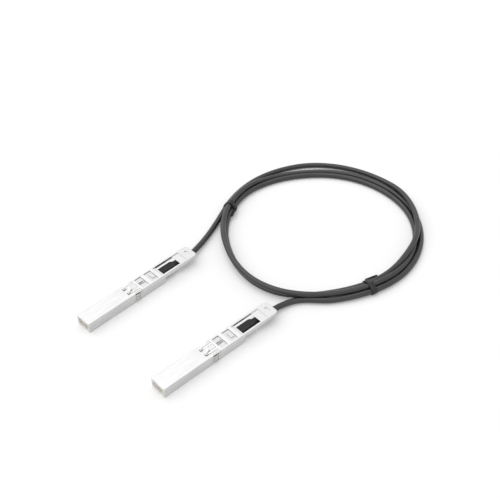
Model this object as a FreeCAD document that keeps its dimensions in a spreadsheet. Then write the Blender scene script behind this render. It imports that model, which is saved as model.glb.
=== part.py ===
"""Direct attach copper cable: two pluggable modules on one twinaxial cable, coiled and tied.

Each module lies on its label side with its release frame upwards. The model's origin is
on the floor under the middle of module A's nose edge, +Y runs from that nose to its cable,
and +Z is up. Lengths are in millimetres.
"""
import FreeCAD
import Part
import Sketcher
import math
import os

from FreeCAD import Placement, Rotation, Vector

doc = FreeCAD.newDocument("direct_attach_cable")

SIZES = [
    # two-part die-cast shell
    ("plug_width", 13.4), ("plug_height", 8.5), ("body_length", 71.5), ("base_height", 5.1),
    ("edge_round", 0.3),
    ("side_wall", 1.0), ("skin", 0.9), ("rear_wall", 3.0), ("nose_chamfer", 0.8),
    ("nose_corner", 0.5), ("tail_slant", 4.0), ("tail_rise", 1.0), ("split_chamfer", 0.15),
    ("mouth_depth", 8.5), ("web_thickness", 1.5), ("front_bay", 31.0), ("ferrule_clearance", 0.05),
    ("cut_over", 1.0),
    # paddle card
    ("card_width", 9.2), ("card_thickness", 1.0), ("card_bottom", 3.75), ("card_setback", 1.0),
    ("card_end", 30.0), ("card_bevel", 0.3), ("card_rest_start", 12.0), ("card_rest_end", 25.0),
    ("card_rest_lap", 0.5), ("card_play", 0.05),
    ("contact_count", 10), ("contact_pitch", 0.8), ("contact_width", 0.5),
    ("contact_length", 3.2), ("contact_thickness", 0.08), ("contact_inset", 0.5),
    ("anchor_start", 25.5), ("anchor_end", 31.5), ("anchor_width", 8.0), ("anchor_height", 3.1),
    ("chip_start", 14.0), ("chip_length", 3.0), ("chip_width", 4.4), ("chip_height", 1.0),
    ("chip_leg_count", 4), ("chip_leg_pitch", 0.65), ("chip_leg_width", 0.25),
    ("chip_leg_reach", 0.9), ("chip_leg_thickness", 0.15), ("chip_bevel", 0.15),
    # contact springs round the shell
    ("collar_start", 41.0), ("collar_length", 6.4), ("collar_band", 1.5), ("collar_sheet", 0.2),
    ("collar_recess", 0.3), ("collar_return", 2.5), ("finger_width", 1.1), ("finger_pitch", 1.6),
    ("finger_bulge", 0.55), ("finger_lift", 0.05), ("side_finger_count", 4),
    ("under_finger_count", 7), ("under_finger_pitch", 1.7),
    # latch boss and release frame
    ("boss_start", 41.6), ("boss_length", 2.4), ("boss_width", 2.6), ("boss_height", 1.1),
    ("sheet", 0.5), ("slide_gap", 0.2), ("slide_travel", 2.5), ("plate_start", 49.2),
    ("arm_inset", 3.1), ("arm_width", 1.6), ("arm_start", 39.0),
    ("ramp_height", 0.9), ("ramp_length", 2.6), ("ramp_flat", 0.5),
    ("spring_window_start", 51.0), ("spring_window_end", 57.0),
    ("stop_window_start", 60.0), ("stop_window_end", 66.2),
    ("boot_window_start", 69.0), ("tab_length", 9.5), ("rail_width", 1.4),
    ("frame_end", 104.0), ("frame_corner", 2.5), ("frame_taper", 12.0), ("frame_lip", 1.1),
    ("tab_hole_length", 5.0), ("tab_hole_width", 2.6),
    ("keeper_start", 57.5), ("keeper_length", 2.5), ("keeper_reach", 0.5), ("keeper_height", 0.4),
    ("stop_width", 5.0), ("stop_length", 3.0), ("stop_height", 0.6),
    # return spring
    ("spring_width", 1.9), ("spring_wire", 0.3), ("spring_turns", 6), ("spring_end", 56.6),
    ("spring_clearance", 0.05), ("pocket_width", 2.6), ("pocket_floor", 0.8), ("lug_width", 1.8),
    # screws
    ("screw_front", 35.0), ("screw_rear", 54.0), ("screw_radius", 0.75), ("head_radius", 1.4),
    ("head_height", 0.9), ("head_inset", 0.15), ("screw_top", 5.2), ("screw_clearance", 0.1),
    ("pillar_radius", 1.7), ("pillar_split", 3.0), ("drive_length", 1.5), ("drive_width", 0.35),
    ("drive_depth", 0.5),
    # cable, its inner pairs and what grips it
    ("cable_width", 4.5), ("cable_height", 4.25), ("stub_start", 61.3), ("lead_straight", 9.0),
    ("pair_width", 1.8), ("pair_spread", 2.9), ("pair_close", 0.95), ("pair_turn", 55.5),
    ("ferrule_length", 4.5), ("ferrule_flats", 5.2), ("saddle_start", 62.5),
    ("saddle_length", 2.2),
    ("boot_width", 8.0), ("boot_height", 5.8), ("boot_round", 1.2), ("boot_clearance", 0.1),
    ("boot_grip_end", 84.0), ("boot_taper_end", 86.5), ("boot_end", 94.5), ("sleeve_width", 6.0),
    ("boot_flange_width", 9.8), ("boot_flange_height", 5.2), ("boot_flange_length", 2.0),
    ("groove_count", 3), ("groove_pitch", 2.0), ("groove_width", 0.9), ("groove_depth", 0.5),
    # coil and ties
    ("coil_x", 50.4), ("coil_y", 197.9), ("coil_fan_angle", 125.0),
    ("coil_outer_fan", 86.5), ("coil_outer_side", 82.8), ("coil_outer_shift", 2.7),
    ("coil_inner_fan", 70.4), ("coil_inner_side", 74.2), ("coil_inner_shift", 1.9),
    ("coil_lift", 0.8), ("coil_height", 8.8), ("coil_round", 3.4),
    ("tie_width", 4.5), ("tie_thickness", 0.8), ("tail_radius", 1.1), ("tail_length", 9.0),
    # module B's place
    ("module_b_x", 81.1), ("module_b_turn", 2.87),
]

sheet = doc.addObject("Spreadsheet::Sheet", "Sizes")
for row, (alias, number) in enumerate(SIZES, start=1):
    sheet.set("A%d" % row, str(number))
    sheet.setAlias("A%d" % row, alias)
doc.recompute()
size = {alias: float(sheet.get(alias)) for alias, number in SIZES}


def bind(thing, prop, text):
    """Tie one property to the sheet. A word that starts with $ is a named size."""
    thing.setExpression(prop, text.replace("$", "Sizes."))


def new_body(label):
    body = doc.addObject("PartDesign::Body", label)
    body.Label = label
    return body


def plane(body, role):
    return [f for f in body.Origin.OriginFeatures if f.Role == role][0]


def new_sketch(body, name, role, offset="0"):
    """A sketch on one of the body's own planes, moved along that plane's normal."""
    sketch = body.newObject("Sketcher::SketchObject", name)
    sketch.AttachmentSupport = [(plane(body, role), "")]
    sketch.MapMode = "FlatFace"
    bind(sketch, "AttachmentOffset.Base.z", offset)
    return sketch


def add_outline(sketch, points):
    """A closed outline with straight sides, each corner placed by two named distances."""
    first = sketch.GeometryCount
    count = len(points)
    ring = [Vector(math.cos(2 * math.pi * k / count), math.sin(2 * math.pi * k / count), 0)
            for k in range(count)]
    for k in range(count):
        sketch.addGeometry(Part.LineSegment(ring[k], ring[(k + 1) % count]), False)
    for k in range(count):
        follow = (k + 1) % count
        sketch.addConstraint(
            Sketcher.Constraint("Coincident", first + k, 2, first + follow, 1))
    for k, (across, along) in enumerate(points):
        for kind, start, text in (("DistanceX", ring[k].x, across),
                                  ("DistanceY", ring[k].y, along)):
            sketch.addConstraint(Sketcher.Constraint(kind, -1, 1, first + k, 1, start))
            bind(sketch, "Constraints[%d]" % (sketch.ConstraintCount - 1), text)


def box_points(left, right, low, high):
    return [(left, low), (right, low), (right, high), (left, high)]


def add_circle(sketch, across, along, radius):
    index = sketch.GeometryCount
    sketch.addGeometry(Part.Circle(Vector(0.5, 0.5, 0), Vector(0, 0, 1), 1.0), False)
    for kind, text in (("DistanceX", across), ("DistanceY", along)):
        sketch.addConstraint(Sketcher.Constraint(kind, -1, 1, index, 3, 0.5))
        bind(sketch, "Constraints[%d]" % (sketch.ConstraintCount - 1), text)
    sketch.addConstraint(Sketcher.Constraint("Radius", index, 1.0))
    bind(sketch, "Constraints[%d]" % (sketch.ConstraintCount - 1), radius)


def pad(body, sketch, length, backwards=False, both_ways=False):
    feature = body.newObject("PartDesign::Pad", sketch.Name + "_pad")
    feature.Profile = sketch
    feature.Reversed = backwards
    feature.Midplane = both_ways
    bind(feature, "Length", length)
    return feature


def pocket(body, sketch, depth, forwards=False):
    """Cut against the sketch's normal, or along it, and make sure that something was cut."""
    doc.recompute()
    before = body.Shape.Volume
    feature = body.newObject("PartDesign::Pocket", sketch.Name + "_cut")
    feature.Profile = sketch
    feature.Reversed = forwards
    bind(feature, "Length", depth)
    doc.recompute()
    if not body.Shape.Volume < before - 1e-6:
        raise ValueError("nothing was cut by " + feature.Name)
    return feature


def mirror(body, name, originals):
    feature = body.newObject("PartDesign::Mirrored", name)
    feature.Originals = originals
    feature.MirrorPlane = (plane(body, "YZ_Plane"), [""])
    body.Tip = feature
    return feature


def repeat(body, name, originals, axis, length, count):
    feature = body.newObject("PartDesign::LinearPattern", name)
    feature.Originals = originals
    feature.Direction = (plane(body, axis), [""])
    bind(feature, "Length", length)
    bind(feature, "Occurrences", count)
    body.Tip = feature
    return feature


def edges_where(shape, wanted):
    return ["Edge%d" % (k + 1) for k, edge in enumerate(shape.Edges) if wanted(edge)]


def dress(body, kind, name, wanted, prop, text):
    """A fillet or chamfer on the edges of the body so far that answer the test."""
    doc.recompute()
    base = body.Tip
    names = edges_where(base.Shape, wanted)
    if not names:
        raise ValueError("no edge for " + name)
    feature = body.newObject("PartDesign::" + kind, name)
    feature.Base = (base, names)
    bind(feature, prop, text)
    return feature


def straight_along(edge, axis):
    if edge.Curve.TypeId != "Part::GeomLine":
        return False
    way = edge.Curve.Direction
    return abs(abs(way.dot(axis)) - 1) < 1e-6


def near(value, target):
    return abs(value - target) < 1e-4


X_WAY, Y_WAY, Z_WAY = Vector(1, 0, 0), Vector(0, 1, 0), Vector(0, 0, 1)

HALF = "$plug_width / 2"
ROOM = "$plug_width / 2 - $side_wall"
CARD_TOP = "$card_bottom + $card_thickness"
SEAT = "$plug_height - $sheet - $slide_gap"
REAR_HALF = "$plug_width / 2 - $sheet - $slide_gap"
FRONT_ROOF = "$plug_height - $skin"
REAR_ROOF = "$cable_height + $ferrule_flats / 2 + $ferrule_clearance"
BAY_END = "$body_length - $rear_wall"
ARM_IN = "$plug_width / 2 - $arm_inset - $arm_width"
TAB_START = "$frame_end - $tab_length"


def collar_groove(body, name, points):
    """The shallow recess in the shell's skin that the contact springs' band sits in."""
    sketch = new_sketch(body, name, "XZ_Plane", "-$collar_start - $collar_length")
    for outline in points:
        add_outline(sketch, outline)
    pocket(body, sketch, "$collar_length", forwards=True)


def nose_corners(body):
    at_nose = lambda edge: straight_along(edge, Z_WAY) and near(edge.CenterOfMass.y, 0) \
        and near(abs(edge.CenterOfMass.x), size["plug_width"] / 2)
    dress(body, "Fillet", body.Name + "_nose", at_nose, "Radius", "$nose_corner")


def round_edges(body, height):
    """Round the shell's long outer edges at one height, and the nose's slanted edges there."""
    at_height = lambda edge: near(abs(edge.CenterOfMass.x), size["plug_width"] / 2) \
        and abs(edge.CenterOfMass.z - height) < size["nose_chamfer"] \
        and not straight_along(edge, Z_WAY)
    dress(body, "Fillet", body.Name + "_edges", at_height, "Radius", "$edge_round")


def split_edges(body):
    """The small chamfer along the parting line, where base and cover meet."""
    at_split = lambda edge: straight_along(edge, Y_WAY) \
        and near(edge.CenterOfMass.z, size["base_height"]) \
        and near(abs(edge.CenterOfMass.x), size["plug_width"] / 2)
    dress(body, "Chamfer", body.Name + "_split", at_split, "Size", "$split_chamfer")


def make_base_shell(label):
    body = new_body(label)
    side = new_sketch(body, label + "_side", "YZ_Plane")
    add_outline(side, [
        ("$nose_chamfer", "0"), ("$body_length - $tail_slant", "0"),
        ("$body_length", "$tail_rise"), ("$body_length", "$base_height"),
        ("0", "$base_height"), ("0", "$nose_chamfer")])
    pad(body, side, "$plug_width", both_ways=True)
    nose_corners(body)
    round_edges(body, 0)
    split_edges(body)
    room = new_sketch(body, label + "_room", "XY_Plane", "$base_height")
    add_outline(room, box_points("-(" + ROOM + ")", ROOM, "-$cut_over", BAY_END))
    pocket(body, room, "$base_height - $skin")
    door = new_sketch(body, label + "_boot_way", "XZ_Plane", "-$body_length - $cut_over")
    half_boot = "$boot_width / 2 + $boot_clearance"
    add_outline(door, box_points("-(" + half_boot + ")", half_boot,
                                 "$cable_height - $boot_height / 2 - $boot_clearance",
                                 "$base_height + $cut_over"))
    pocket(body, door, "$rear_wall + 1.5 * $cut_over", forwards=True)
    collar_groove(body, label + "_collar_way", [[
        (HALF + " + $cut_over", "$base_height + $cut_over"),
        (HALF + " - $collar_recess", "$base_height + $cut_over"),
        (HALF + " - $collar_recess", "$collar_recess"),
        ("-(" + HALF + " - $collar_recess)", "$collar_recess"),
        ("-(" + HALF + " - $collar_recess)", "$base_height + $cut_over"),
        ("-(" + HALF + " + $cut_over)", "$base_height + $cut_over"),
        ("-(" + HALF + " + $cut_over)", "-$cut_over"),
        (HALF + " + $cut_over", "-$cut_over")]])
    web = new_sketch(body, label + "_web", "XY_Plane", "$skin")
    add_outline(web, box_points("-(" + ROOM + ")", ROOM, "$mouth_depth",
                                "$mouth_depth + $web_thickness"))
    pad(body, web, "$card_bottom - $skin")
    ledge_in = "$card_width / 2 - $card_rest_lap"
    ledges = new_sketch(body, label + "_ledges", "XY_Plane", "$skin")
    add_outline(ledges, box_points(ledge_in, ROOM, "$card_rest_start", "$card_rest_end"))
    add_outline(ledges, box_points("-(" + ROOM + ")", "-(" + ledge_in + ")",
                                   "$card_rest_start", "$card_rest_end"))
    pad(body, ledges, "$card_bottom - $skin")
    saddle = new_sketch(body, label + "_saddle", "XY_Plane", "$skin")
    add_outline(saddle, box_points("-(" + ROOM + ")", ROOM, "$saddle_start",
                                   "$saddle_start + $saddle_length"))
    pad(body, saddle, "$cable_height - $skin")
    grip = new_sketch(body, label + "_grip", "XZ_Plane",
                      "-$saddle_start - $saddle_length - $cut_over / 4")
    half_grip = "$ferrule_flats / 2 / cos(30)"
    add_outline(grip, [
        ("-(" + half_grip + ")", "$cable_height + $cut_over"),
        ("-(" + half_grip + ")", "$cable_height"),
        ("-(" + half_grip + ") / 2", "$cable_height - $ferrule_flats / 2"),
        ("(" + half_grip + ") / 2", "$cable_height - $ferrule_flats / 2"),
        (half_grip, "$cable_height"), (half_grip, "$cable_height + $cut_over")])
    pocket(body, grip, "$saddle_length + $cut_over / 2", forwards=True)
    pillars = new_sketch(body, label + "_pillars", "XY_Plane", "$skin / 2")
    for place in ("$screw_front", "$screw_rear"):
        add_circle(pillars, "0", place, "$pillar_radius")
    pad(body, pillars, "$pillar_split - $skin / 2")
    holes = new_sketch(body, label + "_screw_ways", "XY_Plane", "$pillar_split + $cut_over")
    for place in ("$screw_front", "$screw_rear"):
        add_circle(holes, "0", place, "$screw_radius + $screw_clearance")
    pocket(body, holes, "$pillar_split + 2 * $cut_over")
    heads = new_sketch(body, label + "_head_ways", "XY_Plane", "$head_inset + $head_height")
    for place in ("$screw_front", "$screw_rear"):
        add_circle(heads, "0", place, "$head_radius + $screw_clearance")
    pocket(body, heads, "$head_inset + $head_height + $cut_over")
    return body


def make_cover_shell(label):
    body = new_body(label)
    side = new_sketch(body, label + "_side", "YZ_Plane")
    step = "$plate_start - $slide_gap"
    add_outline(side, [
        ("0", "$base_height"), ("$body_length", "$base_height"), ("$body_length", SEAT),
        (step, SEAT), (step, "$plug_height"), ("$nose_chamfer / 2", "$plug_height"),
        ("0", "$plug_height - $nose_chamfer / 2")])
    pad(body, side, "$plug_width", both_ways=True)
    nose_corners(body)
    round_edges(body, size["plug_height"])
    split_edges(body)
    waist = new_sketch(body, label + "_waist", "XY_Plane", "$plug_height")
    for low, high in ((REAR_HALF, HALF + " + $cut_over"),
                      ("-(" + HALF + " + $cut_over)", "-(" + REAR_HALF + ")")):
        add_outline(waist, box_points(low, high, step, "$body_length + $cut_over"))
    pocket(body, waist, "$plug_height - $base_height + $cut_over")
    front = new_sketch(body, label + "_front_room", "XY_Plane", "$base_height")
    add_outline(front, box_points("-(" + ROOM + ")", ROOM, "-$cut_over", "$front_bay"))
    pocket(body, front, FRONT_ROOF + " - $base_height", forwards=True)
    rear = new_sketch(body, label + "_rear_room", "XY_Plane", "$base_height")
    rear_room = REAR_HALF + " - $side_wall"
    add_outline(rear, box_points("-(" + rear_room + ")", rear_room, "$front_bay - 0.5", BAY_END))
    pocket(body, rear, REAR_ROOF + " - $base_height", forwards=True)
    door = new_sketch(body, label + "_boot_way", "XZ_Plane", "-$body_length - $cut_over")
    half_boot = "$boot_width / 2 + $boot_clearance"
    add_outline(door, box_points("-(" + half_boot + ")", half_boot, "$base_height - $cut_over",
                                 "$cable_height + $boot_height / 2 + $boot_clearance"))
    pocket(body, door, "$rear_wall + 1.5 * $cut_over", forwards=True)
    collar_groove(body, label + "_collar_way", [[
        (sign + "(" + HALF + " - $collar_recess)", "$base_height - $cut_over"),
        (sign + "(" + HALF + " + $cut_over)", "$base_height - $cut_over"),
        (sign + "(" + HALF + " + $cut_over)", "$plug_height + $cut_over"),
        (sign + "(" + HALF + " - $collar_return)", "$plug_height + $cut_over"),
        (sign + "(" + HALF + " - $collar_return)", "$plug_height - $collar_recess"),
        (sign + "(" + HALF + " - $collar_recess)", "$plug_height - $collar_recess")]
        for sign in ("1 * ", "-1 * ")])
    web = new_sketch(body, label + "_web", "XY_Plane", CARD_TOP + " + $card_play")
    add_outline(web, box_points("-(" + ROOM + ")", ROOM, "$mouth_depth",
                                "$mouth_depth + $web_thickness"))
    ledge_in = "$card_width / 2 - $card_rest_lap"
    add_outline(web, box_points(ledge_in, ROOM, "$card_rest_start", "$card_rest_end"))
    add_outline(web, box_points("-(" + ROOM + ")", "-(" + ledge_in + ")",
                                "$card_rest_start", "$card_rest_end"))
    pad(body, web, FRONT_ROOF + " - (" + CARD_TOP + " + $card_play) + $skin / 2")
    pillars = new_sketch(body, label + "_pillars", "XY_Plane", "$pillar_split")
    for place in ("$screw_front", "$screw_rear"):
        add_circle(pillars, "0", place, "$pillar_radius")
    pad(body, pillars, SEAT + " - $pillar_split - $slide_gap / 2")
    block = new_sketch(body, label + "_spring_block", "XY_Plane", SEAT + " - $skin / 2")
    half_block = "$pocket_width / 2 + $pocket_floor"
    add_outline(block, box_points("-(" + half_block + ")", half_block,
                                  step, "$spring_end + $pocket_floor"))
    pad(body, block, "$spring_width - $skin / 2 + $pocket_floor", backwards=True)
    bed = new_sketch(body, label + "_spring_bed", "XY_Plane", SEAT)
    lug_front = "$spring_window_start - $sheet - $slide_gap"
    add_outline(bed, box_points("-$pocket_width / 2", "$pocket_width / 2", lug_front,
                                "$spring_end"))
    pocket(body, bed, SEAT + " - $plug_height + $sheet / 2 + $spring_width "
                      "+ $spring_clearance + $slide_gap")
    threads = new_sketch(body, label + "_screw_ways", "XY_Plane", "$pillar_split")
    for place in ("$screw_front", "$screw_rear"):
        add_circle(threads, "0", place, "$screw_radius")
    pocket(body, threads, "$screw_top - $pillar_split", forwards=True)
    stop = new_sketch(body, label + "_stop", "XY_Plane", SEAT + " - $skin / 2")
    add_outline(stop, box_points("-$stop_width / 2", "$stop_width / 2",
                                 "$stop_window_start + $slide_travel + $spring_clearance",
                                 "$stop_window_start + $slide_travel + $stop_length"))
    pad(body, stop, "$stop_height + $skin / 2")
    keeper_way = new_sketch(body, label + "_keeper_way", "XY_Plane", "$base_height")
    keeper_depth = "$keeper_reach + $slide_gap"
    for low, high in ((REAR_HALF + " - (" + keeper_depth + ")", HALF),
                      ("-(" + HALF + ")", "-(" + REAR_HALF + " - (" + keeper_depth + "))")):
        add_outline(keeper_way, box_points(
            low, high, "$keeper_start - $slide_gap",
            "$keeper_start + $keeper_length + $slide_travel + $slide_gap"))
    pocket(body, keeper_way, "$keeper_height + 2 * $slide_gap", forwards=True)
    arms = new_sketch(body, label + "_arm_ways", "XY_Plane", "$plug_height")
    arm_low = ARM_IN + " - $slide_gap"
    arm_high = ARM_IN + " + $arm_width + $slide_gap"
    for low, high in ((arm_low, arm_high), ("-(" + arm_high + ")", "-(" + arm_low + ")")):
        add_outline(arms, box_points(low, high, "$arm_start - 2 * $slide_gap", step + " + $cut_over"))
    pocket(body, arms, "$sheet + $slide_gap")
    boss = new_sketch(body, label + "_boss", "YZ_Plane")
    add_outline(boss, [
        ("$boss_start", "$plug_height - $skin / 2"), ("$boss_start", "$plug_height"),
        ("$boss_start + $boss_length * 0.7", "$plug_height + $boss_height"),
        ("$boss_start + $boss_length", "$plug_height + $boss_height"),
        ("$boss_start + $boss_length", "$plug_height - $skin / 2")])
    pad(body, boss, "$boss_width", both_ways=True)
    return body


def make_release_frame(label):
    """The stamped frame: plate, folded rails, latch arms with ramps and a spring lug."""
    body = new_body(label)
    plate = new_sketch(body, label + "_plate", "XY_Plane", "$plug_height")
    add_outline(plate, box_points("-(" + HALF + ")", HALF, "$plate_start", "$frame_end"))
    base = pad(body, plate, "$sheet", backwards=True)
    flange = new_sketch(body, label + "_flange", "YZ_Plane", HALF + " - $sheet")
    low_edge = "$base_height + $slide_gap"
    add_outline(flange, [
        ("$plate_start", "$plug_height"), ("$plate_start", low_edge),
        ("$frame_end - $frame_taper", low_edge),
        ("$frame_end - $frame_corner", "$plug_height - $frame_lip"),
        ("$frame_end - $frame_corner", "$plug_height")])
    rail = pad(body, flange, "$sheet")
    arm = new_sketch(body, label + "_arm", "YZ_Plane", ARM_IN)
    under = "$plug_height - $sheet"
    add_outline(arm, [
        ("$arm_start", under), ("$plate_start + $sheet", under),
        ("$plate_start + $sheet", "$plug_height"),
        ("$arm_start + $ramp_length", "$plug_height"),
        ("$arm_start + $ramp_flat", "$plug_height + $ramp_height"),
        ("$arm_start", "$plug_height + $ramp_height")])
    finger = pad(body, arm, "$arm_width")
    keeper = new_sketch(body, label + "_keeper", "XY_Plane", low_edge)
    add_outline(keeper, box_points(HALF + " - $sheet - $keeper_reach", HALF + " - $sheet / 2",
                                   "$keeper_start", "$keeper_start + $keeper_length"))
    hook = pad(body, keeper, "$keeper_height")
    mirror(body, label + "_other_side", [rail, finger, hook])
    lug = new_sketch(body, label + "_lug", "XY_Plane", under)
    add_outline(lug, box_points("-$lug_width / 2", "$lug_width / 2",
                                "$spring_window_start - $sheet", "$spring_window_start"))
    pad(body, lug, "$spring_width - $sheet / 2", backwards=True)
    lip = new_sketch(body, label + "_lip", "XY_Plane", under)
    half_lip = HALF + " - $frame_corner"
    add_outline(lip, box_points("-(" + half_lip + ")", half_lip,
                                "$frame_end - $sheet", "$frame_end"))
    pad(body, lip, "$frame_lip - $sheet", backwards=True)
    windows = new_sketch(body, label + "_windows", "XY_Plane", "$plug_height")
    half_window = HALF + " - $rail_width"
    for start, end in (("$spring_window_start", "$spring_window_end"),
                       ("$stop_window_start", "$stop_window_end"),
                       ("$boot_window_start", TAB_START)):
        add_outline(windows, box_points("-(" + half_window + ")", half_window, start, end))
    pocket(body, windows, "$sheet")
    hole = new_sketch(body, label + "_tab_hole", "XY_Plane", "$plug_height")
    middle = "($frame_end - $tab_length / 2)"
    add_outline(hole, box_points("-$tab_hole_length / 2", "$tab_hole_length / 2",
                                 middle + " - $tab_hole_width / 2",
                                 middle + " + $tab_hole_width / 2"))
    pocket(body, hole, "$sheet")
    in_hole = lambda edge: straight_along(edge, Z_WAY) \
        and near(abs(edge.CenterOfMass.x), size["tab_hole_length"] / 2) \
        and edge.CenterOfMass.y > size["frame_end"] - size["tab_length"]
    dress(body, "Fillet", label + "_hole_ends", in_hole, "Radius", "$tab_hole_width * 0.45")
    at_corner = lambda edge: straight_along(edge, Z_WAY) and near(edge.CenterOfMass.y,
                                                                 size["frame_end"]) \
        and near(abs(edge.CenterOfMass.x), size["plug_width"] / 2)
    dress(body, "Fillet", label + "_corners", at_corner, "Radius", "$frame_corner * 0.98")
    at_window = lambda edge: straight_along(edge, Z_WAY) \
        and near(abs(edge.CenterOfMass.x), size["plug_width"] / 2 - size["rail_width"]) \
        and edge.CenterOfMass.z > size["plug_height"] - size["sheet"]
    dress(body, "Fillet", label + "_window_corners", at_window, "Radius", "$sheet")
    at_fold = lambda edge: straight_along(edge, Y_WAY) \
        and near(edge.CenterOfMass.z, size["plug_height"]) \
        and near(abs(edge.CenterOfMass.x), size["plug_width"] / 2)
    dress(body, "Fillet", label + "_folds", at_fold, "Radius", "$sheet * 0.8")
    return body


def make_return_spring(label):
    body = new_body(label)
    axis_height = "$plug_height - $sheet / 2 - $spring_width / 2"
    wire = new_sketch(body, label + "_wire", "XY_Plane", axis_height)
    add_circle(wire, "$spring_width / 2 - $spring_wire / 2",
               "$spring_window_start + $spring_wire / 2 + $spring_clearance",
               "$spring_wire / 2")
    coil = body.newObject("PartDesign::AdditiveHelix", label + "_coil")
    coil.Profile = wire
    coil.ReferenceAxis = (wire, ["V_Axis"])
    coil.Mode = "height-turns-angle"
    bind(coil, "Height", "$spring_end - $spring_window_start - $spring_wire "
                         "- 2 * $spring_clearance")
    bind(coil, "Turns", "$spring_turns")
    return body


def make_contact_collar(label):
    """Sheet-metal contact springs: a folded band with fingers that bulge past the shell."""
    body = new_body(label)
    outer = HALF + " - $collar_recess + $collar_sheet"
    inner = HALF + " - $collar_recess"
    low = "$collar_recess - $collar_sheet"
    high = "$plug_height - $collar_recess + $collar_sheet"
    tip = HALF + " - $collar_return + $collar_sheet"
    band = new_sketch(body, label + "_band", "XZ_Plane", "-$collar_start - $collar_band")
    right = [(outer, low), (outer, high), (tip, high), (tip, "$plug_height - $collar_recess"),
             (inner, "$plug_height - $collar_recess"), (inner, "$collar_recess")]
    left = [("-(" + across + ")", up) for across, up in reversed(right)]
    add_outline(band, right + left)
    pad(body, band, "$collar_band")
    root = "$collar_start + $collar_band"
    end = "$collar_start + $collar_length - $finger_lift"
    middle = "($collar_start + $collar_band / 2 + $collar_length / 2)"
    first = "$collar_recess + $finger_pitch / 2"
    side = new_sketch(body, label + "_side_finger", "XY_Plane", first)
    shoulder = "$collar_band / 2"
    for sign in ("1 * ", "-1 * "):
        add_outline(side, [(sign + "(" + across + ")", along) for across, along in [
            (inner, root + " - $finger_lift"), (outer, root + " - $finger_lift"),
            (outer + " + $finger_bulge", middle + " - " + shoulder),
            (outer + " + $finger_bulge", middle + " + " + shoulder),
            (outer, end), (inner + " + $finger_lift", end),
            (inner + " + $finger_bulge", middle + " + " + shoulder + " - $collar_sheet / 2"),
            (inner + " + $finger_bulge", middle + " - " + shoulder)]])
    finger = pad(body, side, "$finger_width")
    repeat(body, label + "_side_fingers", [finger], "Z_Axis",
           "$finger_pitch * ($side_finger_count - 1)", "$side_finger_count")
    under = new_sketch(body, label + "_under_fingers", "XY_Plane", low)
    for k in range(int(size["under_finger_count"])):
        place = "(%d - ($under_finger_count - 1) / 2) * $under_finger_pitch" % k
        add_outline(under, box_points(place + " - $finger_width / 2",
                                      place + " + $finger_width / 2",
                                      root + " - $finger_lift", end))
    pad(body, under, "$collar_sheet")
    over = new_sketch(body, label + "_over_fingers", "XY_Plane", high)
    for low_x, high_x in ((tip, tip + " + $finger_width"),
                          ("-(" + tip + " + $finger_width)", "-(" + tip + ")")):
        add_outline(over, box_points(low_x, high_x, root + " - $finger_lift", end))
    pad(body, over, "$collar_sheet", backwards=True)
    return body


def make_paddle_card(label):
    body = new_body(label)
    board = new_sketch(body, label + "_board", "XY_Plane", "$card_bottom")
    half = "$card_width / 2"
    add_outline(board, box_points("-" + half, half, "$card_setback", "$card_end"))
    pad(body, board, "$card_thickness")
    at_edge = lambda edge: straight_along(edge, X_WAY) and near(edge.CenterOfMass.y,
                                                               size["card_setback"])
    dress(body, "Chamfer", label + "_bevel", at_edge, "Size", "$card_bevel")
    return body


def make_card_contacts(label):
    """The plated pads on both faces of the card's plug-in edge."""
    body = new_body(label)
    body.AllowCompound = True
    start = "$card_setback + $contact_inset"
    for name, height, backwards in (("upper", CARD_TOP, False), ("lower", "$card_bottom", True)):
        row = new_sketch(body, label + "_" + name, "XY_Plane", height)
        for k in range(int(size["contact_count"])):
            place = "(%d - ($contact_count - 1) / 2) * $contact_pitch" % k
            add_outline(row, box_points(place + " - $contact_width / 2",
                                        place + " + $contact_width / 2",
                                        start, start + " + $contact_length"))
        pad(body, row, "$contact_thickness", backwards=backwards)
    return body


def make_memory_chip(label):
    """The small chip on the card that tells the port what is plugged in, with its legs."""
    body = new_body(label)
    case = new_sketch(body, label + "_case", "XY_Plane", CARD_TOP)
    half, end = "$chip_width / 2", "$chip_start + $chip_length"
    add_outline(case, box_points("-" + half, half, "$chip_start", end))
    pad(body, case, "$chip_height")
    on_top = lambda edge: near(edge.CenterOfMass.z, size["card_bottom"] + size["card_thickness"]
                               + size["chip_height"])
    dress(body, "Chamfer", label + "_bevel", on_top, "Size", "$chip_bevel")
    legs = new_sketch(body, label + "_legs", "XY_Plane", CARD_TOP)
    reach = half + " + $chip_leg_reach"
    for k in range(int(size["chip_leg_count"])):
        place = "($chip_start + $chip_length / 2 + (%d - ($chip_leg_count - 1) / 2)" \
                " * $chip_leg_pitch)" % k
        add_outline(legs, box_points("-(" + reach + ")", reach, place + " - $chip_leg_width / 2",
                                     place + " + $chip_leg_width / 2"))
    pad(body, legs, "$chip_leg_thickness")
    return body


def make_wire_anchor(label):
    """Moulded block over the soldered joints at the back of the card."""
    body = new_body(label)
    middle = "($card_bottom + $card_thickness / 2)"
    block = new_sketch(body, label + "_block", "XY_Plane", middle + " - $anchor_height / 2")
    half = "$anchor_width / 2"
    add_outline(block, box_points("-" + half, half, "$anchor_start", "$anchor_end"))
    pad(body, block, "$anchor_height")
    slot = new_sketch(body, label + "_slot", "XY_Plane", CARD_TOP)
    half_slot = "$card_width / 2 + $cut_over"
    add_outline(slot, box_points("-(" + half_slot + ")", half_slot,
                                 "$anchor_start - $cut_over", "$card_end"))
    pocket(body, slot, "$card_thickness")
    return body


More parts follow.
